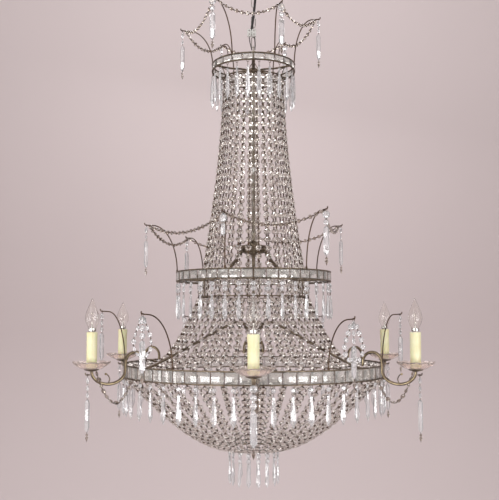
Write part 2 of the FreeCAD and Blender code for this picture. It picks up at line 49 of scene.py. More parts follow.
# Heights and radii of the tiers, in metres, as the frame has them
levels = {
    "chainTop": -0.0271, "eye": -0.2052, "crownTop": -0.2512, "crownLow": -0.2732, "neckTop": -0.2902,
    "waistTop": -0.8252, "waistLow": -0.8532, "tentTop": -0.8912, "ringTop": -1.0682, "ringLow": -1.1022,
    "bottomTop": -1.2912, "bottomLow": -1.2952, "cupTop": -1.0722, "dishFloor": -1.0692,
    "sleeveTop": -0.9832, "hook": -1.0852, "columnHigh": -0.9562, "columnLow": -1.0762,
    "waistHubHigh": -0.7412, "waistHubLow": -0.7792, "crownHubHigh": -0.2612, "crownHubLow": -0.2772,
}
radii = {
    "crown": 0.113, "neck": 0.081, "waist": 0.207, "tent": 0.148, "ring": 0.346, "bottom": 0.065,
    "candle": 0.450,
}
places = ["front", "front_right", "back_right", "back", "back_left", "front_left"]
hoopWide = 0.005
hoopHigh = 0.0035
pinWire = 0.0007  # radius of the wire that joins beads and prisms


def joinNodes(tree, *rows):
    # Each row is a node, its output, another node and its input
    for start, output, end, entry in rows:
        tree.links.new(start.outputs[output], end.inputs[entry])


def setInputs(node, values):
    for title, value in values.items():
        node.inputs[title].default_value = value


def makeCloudGroup():
    # A soft cloud mask and a fine bump, shared by every finish
    group = bpy.data.node_groups.new("cloudAndGrain", "ShaderNodeTree")
    for title, start in (("Cloud scale", 60.0), ("Grain scale", 900.0), ("Grain depth", 0.1)):
        socket = group.interface.new_socket(title, in_out="INPUT", socket_type="NodeSocketFloat")
        socket.default_value = start
    group.interface.new_socket("Mask", in_out="OUTPUT", socket_type="NodeSocketFloat")
    group.interface.new_socket("Normal", in_out="OUTPUT", socket_type="NodeSocketVector")
    nodes = group.nodes
    entry, leave = nodes.new("NodeGroupInput"), nodes.new("NodeGroupOutput")
    place = nodes.new("ShaderNodeTexCoord")
    cloud, grain = nodes.new("ShaderNodeTexNoise"), nodes.new("ShaderNodeTexNoise")
    spread, bump = nodes.new("ShaderNodeMapRange"), nodes.new("ShaderNodeBump")
    setInputs(cloud, {"Detail": 5.0})
    setInputs(grain, {"Detail": 3.0})
    setInputs(spread, {"From Min": 0.35, "From Max": 0.68})
    setInputs(bump, {"Distance": 0.0006})
    joinNodes(group, (place, "Object", cloud, "Vector"), (place, "Object", grain, "Vector"),
              (entry, "Cloud scale", cloud, "Scale"), (entry, "Grain scale", grain, "Scale"),
              (entry, "Grain depth", bump, "Strength"), (cloud, "Fac", spread, "Value"),
              (grain, "Fac", bump, "Height"), (spread, "Result", leave, "Mask"), (bump, "Normal", leave, "Normal"))
    return group


cloudGroup = makeCloudGroup()
# What finish takes beside its own values, and the shader's names for it
extraInputs = {"clear": "Transmission Weight", "ior": "IOR", "soft": "Subsurface Weight",
               "softDepth": "Subsurface Scale"}


def finish(name, dark, light, rough, metal=0.0, cloud=60.0, grain=900.0, depth=0.1, roughSpread=0.1, **extra):
    # Two colours mixed by the cloud, a fine bump, and plain values on the shader
    material = bpy.data.materials.new(name)
    material.use_nodes = True
    tree = material.node_tree
    shader = tree.nodes["Principled BSDF"]
    effect = tree.nodes.new("ShaderNodeGroup")
    effect.node_tree = cloudGroup
    setInputs(effect, {"Cloud scale": cloud, "Grain scale": grain, "Grain depth": depth})
    blend = tree.nodes.new("ShaderNodeMix")
    blend.data_type = "RGBA"
    setInputs(blend, {6: (*dark, 1.0), 7: (*light, 1.0)})
    joinNodes(tree, (effect, "Mask", blend, 0), (blend, 2, shader, "Base Color"), (effect, "Normal", shader, "Normal"))
    if roughSpread:
        vary = tree.nodes.new("ShaderNodeMapRange")
        setInputs(vary, {"To Min": rough, "To Max": rough + roughSpread})
        joinNodes(tree, (effect, "Mask", vary, "Value"), (vary, "Result", shader, "Roughness"))
    else:
        setInputs(shader, {"Roughness": rough})
    setInputs(shader, {"Metallic": metal})
    setInputs(shader, {extraInputs[key]: value for key, value in extra.items()})
    return material


# Metals
ironFinish = finish("bronzedIron", (0.075, 0.056, 0.040), (0.24, 0.190, 0.135), 0.40,
                    metal=0.8, cloud=90.0, depth=0.25)
wireFinish = finish("brownWire", (0.045, 0.026, 0.016), (0.13, 0.078, 0.045), 0.42,
                    metal=0.6, cloud=140.0, depth=0.15)
giltFinish = finish("wornGilt", (0.15, 0.115, 0.065), (0.50, 0.41, 0.25), 0.30,
                    metal=0.95, cloud=70.0, depth=0.2)
stemFinish = finish("greyedBrass", (0.36, 0.32, 0.27), (0.56, 0.52, 0.45), 0.38,
                    metal=0.6, cloud=80.0, depth=0.2)
steelFinish = finish("plainSteel", (0.42, 0.41, 0.39), (0.58, 0.57, 0.54), 0.26,
                     metal=1.0, cloud=120.0, grain=1400.0)
# Glass
crystalFinish = finish("cutCrystal", (0.68, 0.645, 0.59), (0.87, 0.85, 0.81), 0.015, cloud=45.0, grain=260.0,
                       depth=0.02, roughSpread=0.02, clear=1.0, ior=1.58)
smokyFinish = finish("smokyCrystal", (0.34, 0.29, 0.24), (0.62, 0.57, 0.51), 0.02, cloud=60.0, grain=260.0,
                     depth=0.02, roughSpread=0.02, clear=1.0, ior=1.58)
prismFinish = finish("clearPrism", (0.90, 0.91, 0.92), (0.98, 0.98, 0.99), 0.02, cloud=40.0, grain=160.0,
                     depth=0.004, roughSpread=0.02, clear=0.78, ior=1.66)
plaqueFinish = finish("plaqueGlass", (0.72, 0.72, 0.68), (0.93, 0.93, 0.90), 0.04, cloud=30.0, grain=90.0,
                      depth=0.012, roughSpread=0.06, clear=0.84, ior=1.72)
dishFinish = finish("rosyGlass", (0.90, 0.79, 0.73), (0.97, 0.89, 0.85), 0.05, cloud=35.0, grain=180.0,
                    depth=0.06, roughSpread=0.04, clear=0.86, ior=1.40)
bulbFinish = finish("bulbGlass", (0.97, 0.96, 0.94), (1.0, 1.0, 0.99), 0.01, cloud=30.0, grain=120.0,
                    depth=0.004, roughSpread=0.01, clear=1.0, ior=1.33)
# Candles, lamp fittings and the flex
waxFinish = finish("creamCandle", (0.78, 0.72, 0.42), (0.86, 0.81, 0.55), 0.42, cloud=38.0, grain=500.0,
                   depth=0.12, soft=0.12, softDepth=0.004)
socketFinish = finish("socketIvory", (0.55, 0.52, 0.44), (0.70, 0.67, 0.58), 0.5, cloud=90.0)
blockFinish = finish("whiteBlock", (0.62, 0.61, 0.58), (0.80, 0.79, 0.76), 0.45, cloud=80.0)
flexFinish = finish("flexRubber", (0.010, 0.009, 0.009), (0.028, 0.025, 0.024), 0.5,
                    cloud=150.0, grain=1600.0, depth=0.3)
capFinish = finish("bulbCap", (0.50, 0.49, 0.46), (0.72, 0.71, 0.68), 0.18, metal=1.0, cloud=160.0)
filamentFinish = finish("filamentWire", (0.75, 0.72, 0.66), (0.92, 0.90, 0.86), 0.2, metal=1.0, cloud=200.0)
print("stage 2: finishes made")


def startWork():
    return {"points": [], "faces": [], "slots": []}


def addForm(work, form, place=None, slot=0):
    start = len(work["points"])
    points, faces = form
    work["points"] += points if place is None else [place @ point for point in points]
    work["faces"] += [tuple(start + i for i in face) for face in faces]
    work["slots"] += [slot] * len(faces)


def spin(degrees, axis="Z"):
    return Matrix.Rotation(math.radians(degrees), 4, axis)


def wobble(most, axis="Z"):
    return spin(chance.uniform(-most, most), axis)


def down(depth):
    return Matrix.Translation((0, 0, -depth))


def turn(azimuth):
    # 0 is the front, and the azimuth grows to the right
    return spin(azimuth - 90)


def spotAt(azimuth, radius, height=0.0):
    return turn(azimuth) @ Matrix.Translation((radius, 0, height))


def layered(rows, closeEnds=True):
    # Faces through rows of points; a row of one point is a tip
    points, faces, starts = [], [], []
    for row in rows:
        starts.append(len(points))
        points += row
    for a, b, sa, sb in zip(rows, rows[1:], starts, starts[1:]):
        count = max(len(a), len(b))
        for k in range(count):
            n = (k + 1) % count
            if len(a) == 1:
                faces.append((sa, sb + n, sb + k))
            elif len(b) == 1:
                faces.append((sa + k, sa + n, sb))
            else:
                faces.append((sa + k, sa + n, sb + n, sb + k))
    if closeEnds:
        if len(rows[0]) > 2:
            faces.append(tuple(starts[0] + k for k in reversed(range(len(rows[0])))))
        if len(rows[-1]) > 2:
            faces.append(tuple(starts[-1] + k for k in range(len(rows[-1]))))
    return points, faces


def closedRows(rows):
    # The same, with the last row joined to the first, as in a ring or a thin shell
    points, faces = layered(rows, closeEnds=False)
    sides = len(rows[0])
    last = len(points) - sides
    faces += [(last + k, last + (k + 1) % sides, (k + 1) % sides, k) for k in range(sides)]
    return points, faces


def roundTurns(sides):
    return [k * 2 * math.pi / sides for k in range(sides)]


def circleRow(radius, height, sides, wideX=1.0, wideY=1.0):
    return [Vector((radius * wideX * math.cos(t), radius * wideY * math.sin(t), height)) for t in roundTurns(sides)]


def profileRows(profile, sides):
    # profile is (radius, height) from bottom to top; a radius of 0 is a tip
    return [[Vector((0, 0, h))] if r == 0 else circleRow(r, h, sides) for r, h in profile]


def lathe(profile, sides):
    return layered(profileRows(profile, sides))


def latheRing(profile, sides):
    return closedRows(profileRows(profile, sides))


def roundedBand(radius, low, high, wide, corner=0.001):
    # The outline of a hoop's flat strip with its edges rounded off
    inner, outer = radius - wide / 2, radius + wide / 2
    return [(inner + corner, low), (outer - corner, low), (outer, low + corner), (outer, high - corner),
            (outer - corner, high), (inner + corner, high), (inner, high - corner), (inner, low + corner)]


def tube(line, radius, sides=8, closed=False):
    # A round bar along points; radius is a number or one for each point
    count = len(line)
    rows, side = [], None
    for i, point in enumerate(line):
        before = line[i - 1] if closed or i > 0 else point
        after = line[(i + 1) % count] if closed or i < count - 1 else point
        along = (after - before).normalized()
        if side is None:
            side = along.orthogonal().normalized()
        side = (side - along * side.dot(along)).normalized()
        other = along.cross(side)
        size = radius[i] if isinstance(radius, list) else radius
        rows.append([point + (side * math.cos(t) + other * math.sin(t)) * size for t in roundTurns(sides)])
    return closedRows(rows) if closed else layered(rows)


def smoothLine(points, steps=6):
    # A rounder line through the given points
    line = []
    for i in range(len(points) - 1):
        a, b = points[max(i - 1, 0)], points[i]
        c, d = points[i + 1], points[min(i + 2, len(points) - 1)]
        bend, swing = 2 * a - 5 * b + 4 * c - d, 3 * b - a - 3 * c + d
        for k in range(steps):
            t = k / steps
            line.append(0.5 * (2 * b + (c - a) * t + bend * t * t + swing * t ** 3))
    line.append(points[-1])
    return line


def radial(points):
    return [Vector((r, 0, z)) for r, z in points]


def octagonBead(across, thick, table=0.52):
    # A flat eight-sided bead, cut to a table on both faces; its face looks along Y, its wires leave along Z
    rows = []
    for y, size in ((-thick / 2, table), (-thick * 0.08, 1.0), (thick * 0.08, 1.0), (thick / 2, table)):
        radius = across / 2 * size / math.cos(math.pi / 8)
        turns = [(k + 0.5) * math.pi / 4 for k in range(8)]
        rows.append([Vector((radius * math.cos(t), y, -radius * math.sin(t))) for t in turns])
    return layered(rows)


def plaqueForm(wide, high, thick, edge):
    # A flat glass with bevelled edges, which look along Y
    rows = []
    for y, cut in ((-thick / 2, edge * 0.5), (-thick * 0.1, 0.0), (thick * 0.15, 0.0), (thick / 2, edge)):
        u, v = wide / 2 - cut, high / 2 - cut
        rows.append([Vector((x, y, z)) for x, z in ((u, v), (u, -v), (-u, -v), (-u, v))])
    return layered(rows)


def cutProfile(high, wide, thick, rows, sides=6):
    # A cut prism hanging down from 0: rows are shares of its height, width and thickness
    outlines = []
    for part, broad, deep in rows:
        if broad == 0:
            outlines.append([Vector((0, 0, -high * part))])
        else:
            outlines.append(circleRow(0.5, -high * part, sides, wide * broad, thick * deep))
    return layered(outlines[::-1])


cutValues = {
    "spear": [(0, 0.30, 0.42), (0.06, 0.56, 0.62), (0.12, 0.38, 0.46), (0.30, 0.74, 0.80), (0.74, 1, 1),
              (0.80, 1, 0.9), (1, 0, 0)],
    "long": [(0, 0.36, 0.4), (0.10, 1, 1), (0.88, 1, 1), (1, 0.3, 0.4)],
    "arrow": [(0, 0.2, 0.2), (0.13, 0.8, 0.75), (0.26, 0.25, 0.25), (0.32, 0.45, 0.4), (0.44, 1, 0.8), (1, 0, 0)],
}


def wireLoop(radius, wire, sides=10):
    # A small round ring of wire standing in the XZ plane
    line = [Vector((radius * math.cos(t), 0, radius * math.sin(t))) for t in roundTurns(sides)]
    return tube(line, wire, 4, closed=True)


def pinForm(length, wire=pinWire):
    return layered([circleRow(wire, -length / 2, 4), circleRow(wire, length / 2, 4)])


def knotForm(length, wire):
    # A wire pin, its two bent ends hooked together in a knot at the middle
    rows = [(wire, -0.5), (wire * 1.1, -0.2), (wire * 2.0, -0.06), (wire * 2.0, 0.06), (wire * 1.1, 0.2), (wire, 0.5)]
    return layered([circleRow(radius, length * part, 5) for radius, part in rows])


def addObject(name, data):
    thing = bpy.data.objects.new(name, data)
    bpy.context.scene.collection.objects.link(thing)
    return thing


def makePiece(name, work, finishes, nodes, smoothSlots=(), body="frame"):
    mesh = bpy.data.meshes.new(name)
    mesh.from_pydata(work["points"], [], work["faces"])
    mesh.polygons.foreach_set("material_index", work["slots"])
    mesh.polygons.foreach_set("use_smooth", [slot in smoothSlots for slot in work["slots"]])
    for material in finishes:
        mesh.materials.append(material)
    if smoothSlots:
        mesh.set_sharp_from_angle(angle=math.radians(40))
    mesh.update()
    piece = addObject(name, mesh)
    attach(piece, body)
    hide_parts(*nodes)


def dress(node, material):
    piece = bpy.data.objects[node]
    piece.data.materials.clear()
    piece.data.materials.append(material)


# One bead strand: sizes in metres, and how far each bead may roll and lean, in degrees
strandValues = {"bead": 0.0162, "thick": 0.0072, "pitch": 0.0222, "wire": 0.0013, "roll": 18.0, "lean": 9.0}


def evenSpots(line, pitch):
    # Even spots about a pitch apart along a fine line, with the direction at each
    length = sum((b - a).length for a, b in zip(line, line[1:]))
    step = length / max(1, round(length / pitch))
    spots, travelled, due = [], 0.0, step * 0.5
    for a, b in zip(line, line[1:]):
        part = (b - a).length
        while travelled + part >= due:
            spots.append((a.lerp(b, (due - travelled) / part), (b - a).normalized()))
            due += step
        travelled += part
    return spots, step


def standing(point, along, across):
    # Local Z runs along the strand and local Y looks out of it
    outward = along.cross(across).normalized()
    side = outward.cross(along)
    basis = Matrix((side, outward, along)).transposed().to_4x4()
    return Matrix.Translation(point) @ basis


def addStrand(work, line, across, bead, thick, pitch, wire, roll, lean):
    # Beads along a line with a wire pin between each pair
    spots, step = evenSpots(line, pitch)
    form = octagonBead(bead, thick)
    pin = knotForm(step - bead * 0.80, wire)
    for point, along in spots:
        place = standing(point, along, across)
        addForm(work, form, place @ wobble(roll) @ wobble(lean, "Y"), 0)
        addForm(work, pin, place @ down(step / 2), 1)
    addForm(work, pin, standing(*spots[-1], across) @ down(-step / 2), 1)


def slack(start, end, sag, late=0.0, steps=40):
    # A hanging line between two points; late moves its belly towards the end
    line = []
    for k in range(steps + 1):
        t = k / steps
        belly = 4 * sag * t * (1 - t) * (1 - late + 2 * late * t)
        line.append(Vector(start).lerp(Vector(end), t) + Vector((0, 0, -belly)))
    return line


def flared(start, end, power, steps=40):
    # The neck's line, which opens faster towards its foot
    line = []
    for k in range(steps + 1):
        out = start[0] + (end[0] - start[0]) * (k / steps) ** power
        line.append(Vector((out, 0, start[2] + (end[2] - start[2]) * k / steps)))
    return line


def strandCage(name, line, count, **changes):
    values = dict(strandValues, **changes)
    work = startWork()
    for k in range(count):
        place = turn(180.0 / count + k * 360.0 / count)
        turned = [place @ point for point in line]
        addStrand(work, turned, place.to_3x3() @ Vector((0, 1, 0)), **values)
    makePiece(name + "Beads", work, [crystalFinish, wireFinish], [name], smoothSlots=(1,))


# Strands in each cage, and how their lines hang
cageValues = {
    "neck": {"count": 30, "bead": 0.0150, "flare": 1.6},
    "tent": {"count": 48, "sag": 0.078},
    "bowl": {"count": 48, "sag": 0.032, "late": 0.4},
}
neck, tent, bowl = cageValues["neck"], cageValues["tent"], cageValues["bowl"]
neckLine = flared((radii["neck"], 0, levels["neckTop"] - hoopHigh),
                  (radii["tent"], 0, levels["tentTop"]), neck["flare"])
tentLine = slack((radii["tent"], 0, levels["tentTop"] - hoopHigh),
                 (radii["ring"] - 0.003, 0, levels["ringTop"] - 0.002), tent["sag"])
bowlLine = slack((radii["ring"] - 0.0005, 0, levels["ringLow"]),
                 (radii["bottom"] + 0.0025, 0, levels["bottomTop"] - 0.002), bowl["sag"], bowl["late"])
strandCage("neck_strands", neckLine, neck["count"], bead=neck["bead"])
strandCage("tent_strands", tentLine, tent["count"])
strandCage("bowl_strands", bowlLine, bowl["count"])
print("stage 3: strands of the neck, the tent and the bowl")


# Plaques in each band: how many, the gap between two, their thickness and the width of the bevel
plaqueValues = {
    "crown_plaques": {"tier": "crown", "count": 24, "gap": 0.0039, "thick": 0.0042, "edge": 0.0035},
    "waist_plaques": {"tier": "waist", "count": 42, "gap": 0.0039, "thick": 0.0042, "edge": 0.0040},
    "main_plaques": {"tier": "ring", "count": 66, "gap": 0.0039, "thick": 0.0045, "edge": 0.0045},
}
plaqueRod, plaqueLean = 0.0008, 2.5  # rod between two plaques, and degrees that a plaque may lean


def plaqueBand(name, tier, count, gap, thick, edge):
    work = startWork()
    radius, top, foot = radii[tier], levels[tier + "Top"] - hoopHigh, levels[tier + "Low"] + hoopHigh
    wide, middle = 2 * math.pi * radius / count - gap, (top + foot) / 2
    form = plaqueForm(wide, top - foot, thick, edge)
    rod = pinForm(top - foot, plaqueRod)
    for k in range(count):
        place = spotAt((k + 0.5) * 360.0 / count, radius, middle) @ spin(-90)
        addForm(work, form, place @ wobble(plaqueLean), 0)
        addForm(work, rod, spotAt(k * 360.0 / count, radius + 0.001, middle), 1)
    makePiece(name + "Glass", work, [plaqueFinish, wireFinish], [name], (1,))


for name, values in plaqueValues.items():
    plaqueBand(name, **values)


def addHoop(work, radius, low, high, sides=96):
    addForm(work, latheRing(roundedBand(radius, low, high, hoopWide), sides))


def addHoopPair(work, tier, sides=96):
    # The two hoops that hold a band of plaques
    top, low = levels[tier + "Top"], levels[tier + "Low"]
    addHoop(work, radii[tier], top - hoopHigh, top, sides)
    addHoop(work, radii[tier], low, low + hoopHigh, sides)


def addStrap(work, line, wide, thick):
    # A flat strip bent in the radial plane, its edges rounded
    outline = ((-1, -0.5), (-0.8, -1), (0.8, -1), (1, -0.5), (1, 0.5), (0.8, 1), (-0.8, 1), (-1, 0.5))
    rows = []
    for i, point in enumerate(line):
        along = (line[min(i + 1, len(line) - 1)] - line[max(i - 1, 0)]).normalized()
        off = Vector((-along.z, 0, along.x))
        rows.append([point + off * v * thick / 2 + Vector((0, u * wide / 2, 0)) for u, v in outline])
    addForm(work, layered(rows))


def spreadWork(work, one, count):
    # Copies round the axis, one finish after the other
    for k in range(count):
        place = turn(k * 360.0 / count)
        for slot in sorted(set(one["slots"])):
            faces = [f for f, s in zip(one["faces"], one["slots"]) if s == slot]
            used = sorted({i for face in faces for i in face})
            renumber = {old: new for new, old in enumerate(used)}
            form = ([one["points"][i] for i in used], [tuple(renumber[i] for i in face) for face in faces])
            addForm(work, form, place, slot)


# Straps of the three frames, and the wires and posts between their hoops
strapValues = {"count": 6, "wide": 0.008, "armThick": 0.005, "neckWire": 0.0011, "neckSpread": 0.014, "post": 0.0015}
toothValues = {"count": 24, "radius": 0.0305, "rise": 0.0205, "wide": 0.0034}


def crownMetal():
    work, one = startWork(), startWork()
    addHoopPair(work, "crown")
    addHoop(work, radii["neck"], levels["neckTop"] - hoopHigh, levels["neckTop"])
    level = levels["crownLow"] + hoopHigh / 2
    spoke = [(0.011, levels["crownLow"] + 0.005), (0.040, level + 0.003), (0.068, level), (0.1105, level)]
    addStrap(one, smoothLine(radial(spoke)), strapValues["wide"], hoopHigh)
    # Bent wires that carry the neck hoop below the crown
    for side in (-1, 1):
        bend = [Vector((0.098, 0, level - 0.002)), Vector((0.088, side * 0.007, level - 0.009)),
                Vector((radii["neck"], side * strapValues["neckSpread"], levels["neckTop"] - 0.001))]
        addForm(one, tube(smoothLine(bend), strapValues["neckWire"], 6))
    spreadWork(work, one, strapValues["count"])
    low, high = levels["crownHubLow"], levels["crownHubHigh"]
    hub = [(0.0052, low), (0.0095, low), (0.012, low + 0.003), (0.012, high - 0.003), (0.0095, high), (0.0052, high)]
    addForm(work, latheRing(hub, 24))
    makePiece("crownMetal", work, [ironFinish], ["crown_ring"], (0,))


def waistMetal():
    work, one = startWork(), startWork()
    addHoopPair(work, "waist")
    addHoop(work, radii["tent"], levels["tentTop"] - hoopHigh, levels["tentTop"])
    low, foot, high = levels["waistLow"], levels["waistHubLow"], levels["waistHubHigh"]
    level = low + hoopHigh / 2
    strut = [(0.032, foot + 0.016), (0.064, low + 0.050), (0.112, low + 0.012), (0.136, level), (0.2045, level)]
    addStrap(one, smoothLine(radial(strut)), strapValues["wide"], hoopHigh)
    post = radial([(radii["tent"], low), (radii["tent"], levels["tentTop"] - 0.001)])
    addForm(one, tube(post, strapValues["post"], 6))
    spreadWork(work, one, strapValues["count"])
    dish = [(0.0052, foot), (0.012, foot), (0.030, foot + 0.006), (0.033, foot + 0.011), (0.033, foot + 0.021),
            (0.030, foot + 0.025), (0.016, foot + 0.030), (0.011, high), (0.0052, high)]
    addForm(work, latheRing(dish, 36))
    # Teeth round the hub's rim
    wide = toothValues["wide"]
    tooth = layered([circleRow(0.0030, -0.0045, 6), circleRow(wide, 0.0015, 6), [Vector((0, 0, 0.0065))]])
    for k in range(toothValues["count"]):
        spot = spotAt(k * 360.0 / toothValues["count"], toothValues["radius"], foot + toothValues["rise"])
        addForm(work, tooth, spot)
    makePiece("waistMetal", work, [ironFinish], ["waist_ring"], (0,))


def mainMetal():
    work, one = startWork(), startWork()
    addHoopPair(work, "ring", 144)
    level, high = levels["ringTop"] - 0.0025, levels["columnHigh"]
    arm = [(0.0255, high - 0.013), (0.054, high - 0.004), (0.117, high - 0.030), (0.162, high - 0.052),
           (0.296, level), (0.3435, level)]
    addStrap(one, smoothLine(radial(arm)), strapValues["wide"], strapValues["armThick"])
    spreadWork(work, one, strapValues["count"])
    makePiece("mainMetal", work, [ironFinish], ["main_ring"], (0,))


def bottomMetal():
    work = startWork()
    addHoop(work, radii["bottom"], levels["bottomLow"], levels["bottomTop"], 72)
    makePiece("bottomHoop", work, [ironFinish], ["bottom_ring"], (0,))


crownMetal()
waistMetal()
mainMetal()
bottomMetal()
print("stage 4: hoops, plaques and straps")

stemValues = {"radius": 0.0049, "nut": 0.0105, "nutHigh": 0.006, "eye": 0.0068, "eyeWire": 0.0017}


def stemMetal(radius, nut, nutHigh, eye, eyeWire):
    work = startWork()
    foot, top = levels["columnLow"] - 0.006, levels["eye"] - 0.0075
    addForm(work, lathe([(radius, foot), (radius, top)], 20))
    for height in (levels["crownHubLow"], levels["waistHubLow"], levels["columnLow"]):
        outline = [(nut - 0.0015, height - nutHigh), (nut, height - 0.0052), (nut, height - 0.0008),
                   (nut - 0.0015, height)]
        addForm(work, lathe(outline, 6))
    collar = [(radius, top - 0.016), (0.0066, top - 0.015), (0.0082, top - 0.010), (0.0070, top - 0.005),
              (0.0074, top - 0.002), (0.0060, top + 0.0005)]
    addForm(work, lathe(collar, 20))
    ring = [Vector((0, eye * math.cos(t), levels["eye"] + eye * math.sin(t))) for t in roundTurns(24)]
    addForm(work, tube(ring, eyeWire, 8, closed=True))
    makePiece("stemMetal", work, [stemFinish], ["stem"], (0,))


# The turned column: radius and depth below its top
columnValues = {
    "outline": [(0.0053, 0.0), (0.012, 0.0), (0.020, 0.003), (0.026, 0.006), (0.026, 0.020), (0.021, 0.025),
                (0.014, 0.030), (0.014, 0.036), (0.018, 0.046), (0.024, 0.058), (0.028, 0.072), (0.027, 0.083),
                (0.022, 0.094), (0.014, 0.104), (0.012, 0.110), (0.0145, 0.115), (0.0140, 0.120), (0.0053, 0.120)],
    "flutes": 12, "fluteWire": 0.0012,
}


def columnMetal(outline, flutes, fluteWire):
    high = levels["columnHigh"]
    work = startWork()
    addForm(work, latheRing([(r, high - d) for r, d in outline], 36))
    # Flutes on the belly
    belly = smoothLine(radial([(r + 0.0002, high - d) for r, d in outline[7:14]]), 3)
    for k in range(flutes):
        place = turn(k * 360.0 / flutes)
        addForm(work, tube([place @ p for p in belly], fluteWire, 5), None, 1)
    makePiece("columnMetal", work, [ironFinish, giltFinish], ["turned_column"], (0, 1))


# Glass on the stem: radius and height above the waist hub; the last two are its bore
stemGlassOutline = [
    (0.009, 0), (0.013, 0.003), (0.0155, 0.008), (0.0155, 0.018), (0.013, 0.023), (0.0085, 0.028), (0.0085, 0.188),
    (0.0095, 0.192), (0.0120, 0.200), (0.0095, 0.208), (0.008, 0.212), (0.010, 0.232), (0.009, 0.270),
    (0.0075, 0.330), (0.009, 0.352), (0.0056, 0.352), (0.0056, 0),
]


def stemCrystal():
    work = startWork()
    addForm(work, latheRing([(r, levels["waistHubHigh"] + h) for r, h in stemGlassOutline], 16))
    makePiece("stemCrystal", work, [crystalFinish], ["stem_glass"])


stemMetal(**stemValues)
columnMetal(**columnValues)
stemCrystal()
print("stage 5: stem and column")

# Fringes: prisms round a hoop, each hanging by a link with small beads
fringeValues = {
    "crown_prisms": {"tier": "crown", "count": 24, "first": 7.5,
                     "wide": 0.0135, "thick": 0.0100, "link": 0.014, "glass": 0.086},
    "waist_prisms": {"tier": "waist", "count": 36, "first": 0.0,
                     "wide": 0.0120, "thick": 0.0085, "link": 0.036, "glass": 0.066},
    "main_prisms": {"tier": "ring", "count": 48, "first": 0.0,
                    "wide": 0.0145, "thick": 0.0105, "link": 0.022, "glass": 0.074},
    "bottom_prisms": {"tier": "bottom", "count": 16, "first": 11.25,
                      "wide": 0.0120, "thick": 0.0085, "link": 0.031, "glass": 0.061},
}
linkValues = {"eye": 0.0030, "eyeWire": 0.0006, "bead": 0.0118, "beadThick": 0.0062, "pitch": 0.0132,
              "swing": 1.6, "twist": 28}


def fringe(name, tier, count, first, wide, thick, link, glass):
    work = startWork()
    spear = cutProfile(glass, wide, thick, cutValues["spear"])
    eye = wireLoop(linkValues["eye"], linkValues["eyeWire"])
    pitch, start = linkValues["pitch"], 0.004
    beads = int((link - start) / pitch)
    bead = octagonBead(linkValues["bead"], linkValues["beadThick"])
    for k in range(count):
        swing, twist = wobble(linkValues["swing"], "X"), wobble(linkValues["twist"])
        place = spotAt(first + k * 360.0 / count, radii[tier], levels[tier + "Low"]) @ spin(90) @ swing
        addForm(work, eye, place @ down(0.0020), 1)
        depth = start
        for _ in range(beads):
            addForm(work, bead, place @ twist @ down(depth + 0.0065), 0)
            depth += pitch
            addForm(work, pinForm(0.004), place @ down(depth - 0.001), 1)
        gap = link - depth
        if gap > 0.001:
            addForm(work, pinForm(gap + 0.002), place @ down(depth + gap / 2), 1)
        addForm(work, spear, place @ twist @ down(link), 0)
    makePiece(name + "Cut", work, [prismFinish, wireFinish], [name], (1,))


for name, values in fringeValues.items():
    fringe(name, **values)
print("stage 6: fringes")

# Hand-bent wires; a tip is its azimuth in degrees, then its reach from the hoop and its rise in mm
branchValues = {"wire": 0.0016, "straight": 0.020, "swagTip": 0.0105, "pendantTip": 0.003}
tierTips = {
    "crown": {"drop": 0.140, "curls": (-37, 37),
              "tips": [(-30, 99, 124), (30, 37, 128), (90, 71, 130), (150, 77, 118), (-150, 81, 112), (-90, 87, 98)]},
    "waist": {"drop": 0.140, "curls": (),
              "tips": [(-20, 15, 138), (40, 74, 143), (120, 89, 142), (180, 55, 126), (-135, 76, 112), (-90, 88, 128)]},
    "ring": {"drop": 0.156, "curls": (),
             "tips": [(-33, 110, 128), (30, 100, 117), (90, 52, 129), (150, 94, 124), (-150, 94, 124), (-90, 66, 137)]},
}
shortDrop = 0.084  # of the waist's first pendant


def branchLine(radius, base, reach, rise):
    # A quarter bend out from the hoop, ending in a small upturned hook
    line = []
    for k in range(0, 17):
        t = math.radians(k * 90 / 16)
        out = (reach - branchValues["straight"] - radius) * (1 - math.cos(t))
        line.append((radius + out, base - 0.001 + rise * math.sin(t)))
    hook = ((-0.001, 0), (0.0012, 0.0016), (0.0022, 0.0044), (0.0012, 0.0058))
    return radial(line + [(reach + out, base + rise + up) for out, up in hook])


def branchWires(node, radius, base, tips, curls):
    work = startWork()
    for azimuth, out, rise in tips:
        line = [turn(azimuth) @ p for p in branchLine(radius, base, radius + out / 1000, rise / 1000)]
        addForm(work, tube(line, branchValues["wire"], 8))
        # A small binding where the wire leaves the hoop
        addForm(work, lathe([(0.0026, -0.0005), (0.0030, 0.002), (0.0022, 0.006)], 10), spotAt(azimuth, radius, base))
    for azimuth in curls:
        curl = [(0, -0.001), (0.001, 0.010), (0.008, 0.019), (0.015, 0.018), (0.014, 0.013)]
        line = smoothLine(radial([(radius + out, base + up) for out, up in curl]))
        addForm(work, tube([turn(azimuth) @ p for p in line], branchValues["wire"] * 0.8, 8))
    makePiece(node + "Wire", work, [wireFinish], [node], (0,))


# Swags and loops of small beads
swagValues = {
    "tier": {"bead": 0.0105, "thick": 0.0055, "pitch": 0.0150, "wire": 0.0011, "roll": 40.0, "lean": 10.0},
    "arm": {"bead": 0.0125, "thick": 0.0060, "pitch": 0.0160, "wire": 0.0008, "roll": 40.0, "lean": 10.0},
    "loop": {"bead": 0.0120, "thick": 0.0055, "pitch": 0.0155, "wire": 0.0008, "roll": 40.0, "lean": 10.0},
}
swagSags = {"tier": 0.034, "arm": 0.066}

